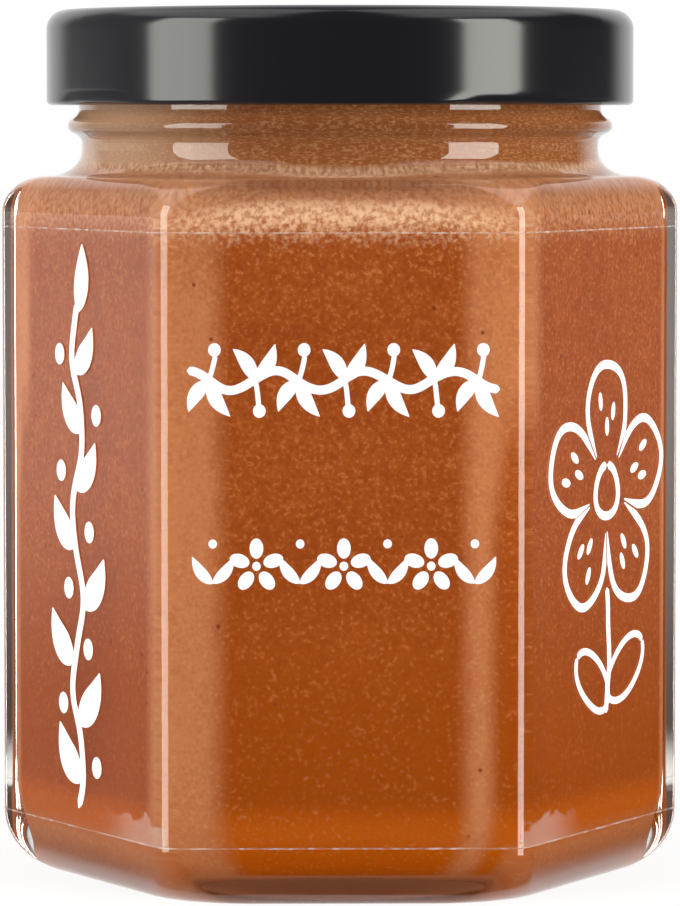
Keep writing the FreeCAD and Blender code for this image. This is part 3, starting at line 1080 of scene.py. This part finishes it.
@dataclass
class TwistOffCap:
    """The cap: drawn shell with a recessed panel, rolled hem, four lugs and its seal."""

    radius: float
    low: float
    high: float
    rim: float
    sheet: float = 0.3
    edge_round: float = 2.0
    recess: float = 0.6
    panel: float = 25.0
    hem: float = 1.1
    hem_width: float = 1.1
    seal_outer: float = 27.4
    seal_inner: float = 22.8
    lugs: int = 4
    lug_turn: float = 33.0
    lug_press: float = 0.55
    lug_spread: float = 11.0
    lug_climb: float = 1.5
    lug_height: float = 0.55
    lug_thickness: float = 0.8
    lug_reach: float = 2.1
    columns: int = 30

    def meridian(self) -> Meridian:
        """Run from the panel's middle out over the edge, down the skirt and back inside."""
        outer, low, high = self.radius, self.low, self.high
        inner, under = outer - self.sheet, high - self.sheet
        panel, panel_top = self.panel, high - self.recess
        hem, hem_in = self.hem, outer - self.hem_width
        seal_out, seal_in, rim = self.seal_outer, self.seal_inner, self.rim
        turn = self.edge_round
        return Meridian(circle(POLE, panel_top)).follow(
            # the panel, its step up, and over the edge down the skirt
            (8, (panel - 1.5, panel_top)),
            (5, (panel - 0.6, panel_top), (panel - 0.1, panel_top + 0.3)),
            (5, (panel + 0.4, high), (panel + 1.3, high)),
            (2, (outer - turn, high)),
            (16, (outer, high), (outer, high - turn)),
            (10, (outer, low + hem + 2.2)),
            (14, (outer, low + hem * 0.5)),
            # round the hem and up inside
            (8, (outer, low), (outer - self.hem_width * 0.5, low)),
            (8, (hem_in, low), (hem_in, low + hem * 0.5)),
            (5, (hem_in, low + hem), (inner - 0.2, low + hem + 0.2)),
            (5, (inner, low + hem + 0.2), (inner, low + hem + 0.8)),
            (4, (inner, under - turn + self.sheet)),
            (8, (inner, under), (inner - turn + self.sheet, under)),
            # the seal, which lies on the rim of the glass
            (1, (seal_out + 0.3, under)),
            (4, (seal_out, under), (seal_out, under - 0.3)),
            (1, (seal_out, rim + 0.1)),
            (3, (seal_out, rim), (seal_out - 0.2, rim)),
            (1, (seal_in + 0.2, rim)),
            (3, (seal_in, rim), (seal_in, rim + 0.2)),
            (1, (seal_in, panel_top - self.sheet)),
            (4, (POLE, panel_top - self.sheet)),
        )

    def press_lugs(self, points: np.ndarray) -> None:
        """Press the skirt in where a lug is formed.

        The press is greatest at the hem and at a lug's middle. It falls off with a flat
        bell curve round the cap, and on the way up with a power of the height left.

        Args:
            points: the cap's grid, changed in place.
        """
        angle = np.arctan2(points[..., 1], points[..., 0])
        radius = np.hypot(points[..., 0], points[..., 1])
        pitch = TURN / self.lugs
        off = np.mod(angle - math.radians(self.lug_turn) + pitch / 2, pitch) - pitch / 2
        bell = np.exp(-(off / math.radians(self.lug_spread)) ** 4)
        climb = np.clip((self.low + self.lug_climb - points[..., 2]) / self.lug_climb, 0.0, 1.0)
        skirt = np.clip(radius - self.radius + 2.0, 0.0, 1.0)
        shrink = 1.0 - self.lug_press * bell * climb ** 1.6 * skirt / radius
        points[..., :2] *= shrink[..., None]

    def build(self) -> None:
        """Make and dress the shell and its lugs."""
        points = carry_round(self.meridian(), self.columns)[0]
        self.press_lugs(points)
        lacquer = BlackLacquer().material()
        dress(shell_piece("cap_shell", points, surface_normals(points)), lacquer, "lid", "lid")
        for number in range(self.lugs):
            middle = math.radians(self.lug_turn) + number * TURN / self.lugs
            dress(self.lug(number, middle), lacquer, "lid")

    def lug(self, number: int, middle: float) -> bpy.types.Object:
        """Make one lug: the hem pressed flat inwards, a tongue with a rounded edge.

        Its section is a flat superellipse, carried over an arc. The inner edge draws back
        towards both ends with the fourth power of the way along.

        Args:
            number: the lug's number.
            middle: angle of its middle.

        Returns:
            The lug.
        """
        way = np.linspace(-1.0, 1.0, 25)[:, None]
        round_section = np.linspace(0.0, TURN, 16, endpoint=False)
        across, tall = (np.sign(wave) * np.abs(wave) ** 0.6
                        for wave in (np.cos(round_section), np.sin(round_section)))
        reach = self.lug_reach * np.sqrt(np.clip(1.0 - way ** 4, 0.02, 1.0))
        radius = self.radius - 0.6 - reach / 2 + reach / 2 * across
        height = self.low + self.lug_height + self.lug_thickness / 2 * tall
        angle = middle + way * math.radians(self.lug_spread * 0.95)
        points = np.stack(np.broadcast_arrays(
            radius * np.cos(angle), radius * np.sin(angle), height), axis=-1)
        return tube_piece(f"cap_lug_{number + 1}", points)


# ---------------------------------------------------------------------------
# Label
# ---------------------------------------------------------------------------


class Side(Enum):
    """A flat of the body, by the direction it faces, in degrees from the front."""

    LEFT = -60.0
    FRONT = 0.0
    RIGHT = 60.0


@dataclass
class Panel:
    """The plane of one flat: across runs to the right as seen from outside, up is Z."""

    side: Side
    distance: float

    def place(self, across: np.ndarray, up: np.ndarray, lift: np.ndarray) -> np.ndarray:
        """Return points of the plane, lifted off it outwards.

        Args:
            across: millimetres to the right of the flat's middle.
            up: height in millimetres.
            lift: distance out from the plane.

        Returns:
            Points with a last axis of three.
        """
        turn = math.radians(self.side.value)
        outward = np.array([math.sin(turn), -math.cos(turn)])
        rightward = np.array([math.cos(turn), math.sin(turn)])
        out = self.distance + lift
        return np.stack([
            outward[0] * out + rightward[0] * across,
            outward[1] * out + rightward[1] * across,
            up,
        ], axis=-1)


@dataclass
class Film:
    """The clear film: a wrap round flats and corners, open at a slit at the back."""

    apothem: float
    low: float
    high: float
    rounding: float = 3.0
    thickness: float = 0.11
    slit: float = 1.5
    edge: float = 0.16
    clearance: float = 0.02

    def outline(self, lift: float) -> np.ndarray:
        """Return the outline from one side of the slit round to the other.

        Each corner is an arc of 60 degrees about its own centre, and the flats are the
        straight steps between the arcs.

        Args:
            lift: distance out from the glass.

        Returns:
            Points across the plane, with a last axis of two.
        """
        apothem, rounding = self.apothem + lift, self.rounding + lift
        reach = (apothem - rounding) / math.cos(math.radians(30))
        corners = np.radians(np.arange(6) * 60.0 + 120.0)
        swing = np.radians(np.linspace(-30.0, 30.0, 9))
        angle = corners[:, None] + swing[None, :]
        arcs = np.stack([
            reach * np.cos(corners)[:, None] + rounding * np.cos(angle),
            reach * np.sin(corners)[:, None] + rounding * np.sin(angle),
        ], axis=-1).reshape(-1, 2)
        return np.concatenate([
            [[-self.slit / 2, apothem]], arcs, [[self.slit / 2, apothem]]])

    def strip(self, name: str, low: float, high: float, inner: float,
              outer: float) -> bpy.types.Object:
        """Make a strip of film between two heights and two distances from the glass."""
        inside, outside = self.outline(inner), self.outline(outer)
        corners = [(inside, low), (outside, low), (outside, high), (inside, high)]
        section = [np.column_stack([flat, np.full(len(flat), height)])
                   for flat, height in corners]
        return tube_piece(name, np.stack(section, axis=1))

    def build(self) -> None:
        """Make and dress the film and the pale lines that its cut edges show."""
        film = self.strip("label_film", self.low, self.high, self.clearance, self.thickness)
        film.data.shade_flat()
        dress(film, ClearFilm().material(), "film", "label")
        cut = ClearFilm().cut_edge()
        for name, low in (("label_edge_low", self.low), ("label_edge_top", self.high - self.edge)):
            line = self.strip(name, low, low + self.edge,
                              self.thickness * 0.5, self.thickness * 1.02)
            dress(line, cut, "film")


@dataclass
class Print:
    """White print on one flat: strokes of a given width, each a low rounded ribbon."""

    panel: Panel
    name: str
    thickness: float = 0.02
    wobble: float = 0.10

    def __post_init__(self) -> None:
        """Start with no strokes."""
        self.points: list[np.ndarray] = []
        self.faces: list[list[int]] = []
        self.count = 0
        self.strokes = 0

    @staticmethod
    def lengths(across: np.ndarray, up: np.ndarray) -> np.ndarray:
        """Return how far along a line each of its points lies."""
        return np.concatenate([[0.0], np.cumsum(np.hypot(np.diff(across), np.diff(up)))])

    def stroke(self, across: np.ndarray, up: np.ndarray, width: np.ndarray,
               hand: float = 1.0) -> None:
        """Add one stroke along a line.

        The ribbon's edges lie half a width to both sides of the line, along its normal.
        A slow pair of waves shifts the line, as a hand does.

        Args:
            across: line's points to the right, millimetres.
            up: their heights.
            width: stroke width at each point.
            hand: how much of the wobble it gets.
        """
        way = self.lengths(across, up)
        shift = self.wobble * hand
        seed = float(self.count % 977)
        across = across + shift * np.sin(way * 0.9 + seed)
        up = up + shift * np.sin(way * 0.7 + seed * 1.7 + 2.0)
        run, rise = np.gradient(across), np.gradient(up)
        length = np.maximum(np.hypot(run, rise), 1e-9)
        side_x, side_y = -rise / length, run / length
        half = width / 2
        layer = self.thickness * (1.0 + 0.12 * (self.strokes % 9))
        self.strokes += 1
        sections = []
        for sign, lift in ((-1, -0.05), (-1, 0.6), (-0.8, 1.0), (0.8, 1.0), (1, 0.6), (1, -0.05)):
            sections.append(self.panel.place(
                across + sign * half * side_x, up + sign * half * side_y,
                np.full(len(across), lift * layer)))
        points = np.stack(sections, axis=1)
        rows, columns = points.shape[:2]
        self.faces += grid_faces(rows, columns, self.count).tolist()
        self.faces.append([self.count + k for k in range(columns)])
        last = self.count + (rows - 1) * columns
        self.faces.append([last + k for k in range(columns)])
        self.points.append(points.reshape(-1, 3))
        self.count += rows * columns

    def line(self, across: np.ndarray, up: np.ndarray, width: float,
             hand: float = 1.0) -> None:
        """Add a stroke of even width with round ends."""
        way = self.lengths(across, up)
        left = np.minimum(way, way[-1] - way) / (width / 2)
        ends = np.sqrt(np.clip(1.0 - (1.0 - np.minimum(left, 1.0)) ** 2, 0.03, 1.0))
        self.stroke(across, up, width * ends, hand)

    def oval(self, across: float, up: float, long: float, wide: float, tilt: float) -> None:
        """Add a filled oval, long along its tilt, in degrees from upright."""
        way = np.sin(np.linspace(-math.pi / 2, math.pi / 2, 21))
        turn = math.radians(tilt)
        width = wide * np.sqrt(np.clip(1.0 - way ** 2, 0.004, 1.0))
        self.stroke(across + long / 2 * way * math.sin(turn),
                    up + long / 2 * way * math.cos(turn), width, hand=0.0)

    def leaf(self, across: float, up: float, long: float, wide: float, tilt: float,
             bend: float = 0.12) -> None:
        """Add a filled leaf from its stalk out, with a bent middle line.

        Args:
            across: stalk's place to the right.
            up: stalk's height.
            long: length.
            wide: greatest width.
            tilt: direction in degrees from upright, clockwise.
            bend: sideways bow as a share of the length.
        """
        way = np.linspace(0.0, 1.0, 25)
        bow = bend * long * np.sin(way * math.pi)
        turn = math.radians(tilt)
        width = wide * np.clip(np.sin(way ** 0.8 * math.pi), 0.03, 1.0) ** 0.8
        self.stroke(across + way * long * math.sin(turn) + bow * math.cos(turn),
                    up + way * long * math.cos(turn) - bow * math.sin(turn), width, hand=0.3)

    def build(self, ink: bpy.types.Material) -> None:
        """Join the strokes into one dressed piece."""
        piece = new_piece(self.name, np.concatenate(self.points), self.faces)
        turn_outwards(piece)
        piece.data.shade_flat()
        piece.visible_shadow = False
        dress(piece, ink, "film")


@dataclass
class LabelPrint:
    """The generic ornament on three flats: sprig, garland, band of blossoms, big blossom."""

    distance: float
    stroke_width: float = 0.9

    def sprig(self) -> Print:
        """Draw the upright sprig: a waving stem with leaves to both sides and berries."""
        art = Print(Panel(Side.LEFT, self.distance), "print_sprig")
        low, high, count = 8.0, 64.5, 8
        tip = high - 5.0
        up = np.linspace(low, tip, 80)
        art.line(self.sway(up, low), up, 1.1)
        pitch = (tip - low - 4.0) / count
        for number in range(count):
            foot = low + 3.0 + number * pitch
            lean = float(self.sway(foot, low))
            way = 1 if number % 2 else -1
            art.leaf(lean, foot, 7.4 - 0.2 * number, 3.6 - 0.1 * number, way * 42.0, way * 0.12)
            art.oval(lean - way * 3.0, foot + 1.6, 2.2, 2.0, 0.0)
        art.leaf(float(self.sway(tip, low)), tip - 1.0, 7.0, 3.0, 8.0, 0.05)
        return art

    @staticmethod
    def sway(up: np.ndarray | float, low: float) -> np.ndarray:
        """Return how far the sprig's stem leans at a height: a sine of 17 mm period."""
        return 1.1 * np.sin((up - low) * TURN / 17.0)

    def garland(self) -> Print:
        """Draw the upper garland: a running vine with filled leaves and stalked berries."""
        art = Print(Panel(Side.FRONT, self.distance), "print_garland")
        middle, reach, period, count, swing = 52.4, 15.4, 8.8, 7, 0.9
        across = np.linspace(-reach, reach, 140)
        vine = swing * np.sin(across * TURN / period)
        art.line(across, middle + vine, self.stroke_width)
        for number in range(count):
            foot = (number - (count - 1) / 2) * period / 2
            way = 1 if number % 2 else -1
            start = middle + swing * math.sin(foot * TURN / period)
            for lead, long in ((-34.0, 3.7), (30.0, 4.1)):
                tilt = 90.0 * (1 - way) + way * lead
                art.leaf(foot, start, long, 1.45, tilt, 0.10)
            stalk = np.linspace(0.0, 1.0, 12)
            art.line(foot + 0.5 * stalk, start - way * 2.6 * stalk, 0.5)
            art.oval(foot + 0.5, start - way * 3.0, 1.35, 1.25, 0.0)
        return art

    def band(self) -> Print:
        """Draw the lower band: small five-petalled blossoms with leaf pairs between them."""
        art = Print(Panel(Side.FRONT, self.distance), "print_band")
        middle, pitch, petals, out = 34.1, 8.6, 5, 1.75
        for number in (-1, 0, 1):
            centre = number * pitch
            for petal in range(petals):
                lead = petal * TURN / petals
                art.oval(centre + out * math.sin(lead), middle + out * math.cos(lead),
                         2.0, 1.35, math.degrees(lead))
            art.oval(centre, middle, 0.9, 0.85, 0.0)
        for number in (-1.5, -0.5, 0.5, 1.5):
            centre = number * pitch
            for tilt in (38.0, -38.0):
                art.leaf(centre, middle - 1.7, 3.3, 1.15, tilt, 0.08 * math.copysign(1, tilt))
            art.oval(centre, middle + 2.2, 0.9, 0.85, 0.0)
        return art

    def loop(self, art: Print, across: float, up: float, long: float, wide: float,
             tilt: float) -> None:
        """Draw an outlined leaf: out along one side and back along the other."""
        way = np.linspace(0.0, math.pi, 40)
        out = (1 - np.cos(way)) / 2 * long
        side = wide * np.sin(way)
        turn = math.radians(tilt)
        for sign in (-1, 1):
            line_x = across + out * math.sin(turn) + sign * side * math.cos(turn)
            line_y = up + out * math.cos(turn) - sign * side * math.sin(turn)
            art.line(line_x, line_y, self.stroke_width * 0.8, hand=0.5)

    def blossom(self) -> Print:
        """Draw the large blossom: five outlined petals with ovals, a stem and two leaves.

        A petal's outline stands off the centre by a base distance plus a swell that
        follows the sine of its own turn.
        """
        art = Print(Panel(Side.RIGHT, self.distance), "print_blossom")
        centre_x, centre_y = 0.2, 40.3
        petals = 5
        for number in range(petals):
            lead = number * TURN / petals
            turn = np.linspace(-0.5, 0.5, 40) * TURN / petals * 0.93
            swell = 4.2 + 8.8 * np.cos(turn * petals / 0.93 / 2) ** 0.42
            art.line(centre_x + swell * np.sin(lead + turn),
                     centre_y + swell * np.cos(lead + turn), self.stroke_width)
            for spread, out in ((-0.16, 9.3), (0.17, 8.2), (0.0, 6.6)):
                art.oval(centre_x + out * math.sin(lead + spread),
                         centre_y + out * math.cos(lead + spread), 1.9, 0.9,
                         math.degrees(lead + spread))
        turn, eye = np.linspace(0.0, TURN, 40), 2.6
        art.line(centre_x + eye * np.sin(turn), centre_y + eye * np.cos(turn),
                 self.stroke_width)
        stem, long = 17.6, 13.0
        up = np.linspace(stem, stem + long, 40)
        art.line(centre_x + 0.6 * np.sin((up - stem) / long * math.pi), up, self.stroke_width)
        self.loop(art, centre_x + 0.4, 19.5, 9.2, 2.5, 58.0)
        self.loop(art, centre_x + 0.2, 18.6, 8.6, 2.3, -52.0)
        return art

    def build(self) -> None:
        """Make all prints."""
        ink = WhiteInk().material()
        for art in (self.sprig(), self.garland(), self.band(), self.blossom()):
            art.build(ink)


# ---------------------------------------------------------------------------
# Studio
# ---------------------------------------------------------------------------


@dataclass(frozen=True)
class Softbox:
    """A tall softbox: the direction it stands in from the front, its size and light."""

    name: str
    azimuth: float
    width: float
    low: float
    high: float
    radiance: float


@dataclass
class Studio:
    """White table and backdrop, two tall softboxes at the sides, and the camera.

    Lengths are metres here, apart from the lens. Radiances are shares of white, and the
    pairs for room and table are right and left. Azimuths are degrees from the front, and
    horizon, zenith and overhead_rise are sines of the height angle.
    """

    softboxes: tuple[Softbox, ...] = (
        Softbox("softbox_left", -63.2, 0.30, -0.13, 0.52, 6.0),
        Softbox("softbox_right", 60.0, 0.265, -0.20, 0.46, 8.0),
    )
    softbox_distance: float = 0.60
    softbox_tint: str = "FFFFF6"
    backdrop: tuple[float, float] = (126.0, 148.0)
    room: tuple[float, float] = (0.02, 0.31)
    through: float = 0.25
    table: tuple[float, float] = (0.20, 0.85)
    table_sides: tuple[float, float] = (75.0, 112.0)
    table_near: float = 0.45
    table_tint: str = "F9F9F9"
    horizon: tuple[float, float] = (0.004, -0.012)
    zenith: tuple[float, float] = (0.70, 0.93)
    overhead: float = 1.5
    overhead_rise: tuple[float, float] = (0.55, 0.75)
    fill: float = 0.24
    floor_radius: float = 0.6
    floor_depth: float = 0.00002
    floor_fade: tuple[float, float] = (0.055, 0.105)
    shadow_share: float = 0.15
    turn: float = -0.7
    camera_distance: float = 0.5297
    camera_height: float = 0.07876
    camera_tilt: float = 3.842
    lens_mm: float = 202.2

    def world(self) -> None:
        """Light the room.

        Seen straight, the room is white. In reflections and through glass there is a white
        backdrop behind the jar, a dim room in front of it that is lighter on the left,
        a pale panel high up at each side, and below the horizon the table, white at the
        sides. Room and table are darker through glass. Diffuse surfaces get an even fill
        besides.
        """
        world = bpy.data.worlds.new("studio")
        bpy.context.scene.world = world
        world.use_nodes = True
        world.node_tree.nodes.clear()
        add = partial(add_node, world.node_tree)
        direction = add("TexCoord", output="Generated")
        rise = add("SeparateXYZ", None, (direction,), "Z")
        flat = add("VectorMath", TIMES, (direction, (1.0, 1.0, 0.0)))
        level = add("VectorMath", {"operation": "NORMALIZE"}, (flat,))
        side = add("SeparateXYZ", None, (level,), "X")
        behind = side.node.outputs["Y"]
        path = add("LightPath").node.outputs

        backdrop, table_side = (
            add("MapRange", SOFT, (behind, *(-math.cos(math.radians(turn)) for turn in turns)))
            for turns in (self.backdrop, self.table_sides))
        backdrop = add("Math", TIMES, (
            backdrop, add("MapRange", SOFT, (rise, *self.zenith, 1.0, 0.25))))
        panels = add("Math", TIMES, (
            add("MapRange", SOFT, (rise, *self.overhead_rise, 0.0, self.overhead)),
            add("MapRange", SOFT, (add("Math", UNSIGNED, (side,)), 0.35, 0.75))))
        room = add("Math", TIMES, (
            add("MapRange", SOFT, (side, 0.3, -0.6, *self.room)),
            add("MapRange", SOFT, (behind, -0.95, -0.25, 0.12, 1.0))))
        depth = add("Math", {"operation": "ADD"}, (
            add("MapRange", SOFT, (rise, -0.05, -0.15, 1.0, 0.08)),
            add("MapRange", SOFT, (rise, -0.20, -0.50, 0.0, self.table_near))))
        table = table_side
        for share in (add("MapRange", SOFT, (side, 0.3, -0.3, *self.table)),
                      add("MapRange", SOFT, (rise, *self.horizon)), depth):
            table = add("Math", TIMES, (table, share))

        around = add("Math", TIMES, (
            add("Math", LARGER, (room, table)),
            add("MapRange", SOFT, (path["Is Transmission Ray"], 0.0, 1.0, 1.0, self.through))))
        for light in (panels, backdrop):
            around = add("Math", LARGER, (around, light))
        lit = add("Math", TIMES_PLUS, (path["Is Diffuse Ray"], self.fill, around))
        shown = add("MixShader", None, (
            path["Is Camera Ray"], *(
                add("Background", None, {"Color": linear(WHITE), "Strength": strength})
                for strength in (lit, 1.0))))
        add("OutputWorld", None, {"Surface": shown})

    def hang(self, softbox: Softbox) -> None:
        """Hang a softbox upright, facing the jar."""
        height = softbox.high - softbox.low
        lamp = bpy.data.lights.new(softbox.name, "AREA")
        lamp.shape = "RECTANGLE"
        lamp.size, lamp.size_y = softbox.width, height
        lamp.color = linear(self.softbox_tint)[:3]
        lamp.energy = softbox.radiance * math.pi * softbox.width * height
        turn = math.radians(softbox.azimuth + self.turn)
        place = Vector((math.sin(turn), -math.cos(turn), 0.0)) * self.softbox_distance
        place.z = (softbox.low + softbox.high) / 2
        holder = bpy.data.objects.new(softbox.name, lamp)
        holder.location = place
        aim = Vector((0.0, 0.0, place.z)) - place
        holder.rotation_euler = aim.to_track_quat("-Z", "Y").to_euler()
        holder.visible_camera = False
        bpy.context.scene.collection.objects.link(holder)

    def floor(self) -> bpy.types.Object:
        """Lay the white table: a disc that fades out before its edge shows."""
        rings = np.array([0.02, 0.05, 0.1, 0.2, 0.4, 1.0])[:, None] * self.floor_radius / MM
        turn = np.linspace(0.0, TURN, 64, endpoint=False)
        points = np.stack(np.broadcast_arrays(
            rings * np.cos(turn), rings * np.sin(turn), -self.floor_depth / MM), axis=-1)
        faces = grid_faces(len(rings), len(turn)).tolist()
        faces.append(list(range(len(turn)))[::-1])
        table = new_piece("table", points.reshape(-1, 3), faces)
        material, add = new_material("white_table")
        away = add("VectorMath", {"operation": "LENGTH"}, (
            add("TexCoord", output="Object"),), "Value")
        seen = add("Math", TIMES, (
            add("LightPath", output="Is Camera Ray"), 1.0 - self.shadow_share))
        lit = add("MixShader", None, (
            seen, add("BsdfDiffuse", None, {"Color": linear(self.table_tint)}),
            add("Emission", None, {"Color": linear(WHITE)})))
        mixed = add("MixShader", None, (
            add("MapRange", SOFT, (away, *self.floor_fade)), lit, add("BsdfTransparent")))
        add("OutputMaterial", None, {"Surface": mixed})
        table.data.materials.append(material)
        table.visible_glossy = False
        return table

    def camera(self) -> None:
        """Set up the long lens in front of the jar, tilted a little down."""
        lens = bpy.data.cameras.new("camera")
        lens.sensor_width = 36.0
        lens.lens = self.lens_mm
        lens.clip_start = 0.01
        holder = bpy.data.objects.new("camera", lens)
        turn, away = math.radians(self.turn), self.camera_distance
        holder.location = (away * math.sin(turn), -away * math.cos(turn), self.camera_height)
        holder.rotation_euler = (math.radians(90.0 - self.camera_tilt), 0.0, turn)
        bpy.context.scene.collection.objects.link(holder)
        bpy.context.scene.camera = holder

    def build(self) -> None:
        """Set up the whole studio."""
        self.world()
        for softbox in self.softboxes:
            self.hang(softbox)
        self.floor()
        self.camera()


def main() -> None:
    """Build the pieces in order and log each."""
    logging.basicConfig(level=logging.INFO, format="%(name)s: %(message)s")
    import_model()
    jar_low, jar_high = (np.array(corner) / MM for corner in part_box("jar"))
    cap_low, cap_high = (np.array(corner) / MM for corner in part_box("lid"))
    film_low, film_high = (np.array(corner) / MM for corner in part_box("label"))
    honey_high = np.array(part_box("honey")[1]) / MM

    glass = GlassJar(across_flats=float(jar_high[1] - jar_low[1]), height=float(jar_high[2]))
    glass.build()
    Honey(glass, level=float(honey_high[2])).build()
    TwistOffCap(radius=float(cap_high[0]), low=float(cap_low[2]), high=float(cap_high[2]),
                rim=float(jar_high[2])).build()
    film = Film(apothem=glass.across_flats / 2, low=float(film_low[2]), high=float(film_high[2]))
    film.build()
    LabelPrint(distance=film.apothem + film.thickness).build()
    Studio().build()

    bpy.context.scene.view_settings.view_transform = "Standard"


if __name__ == "__main__":
    main()
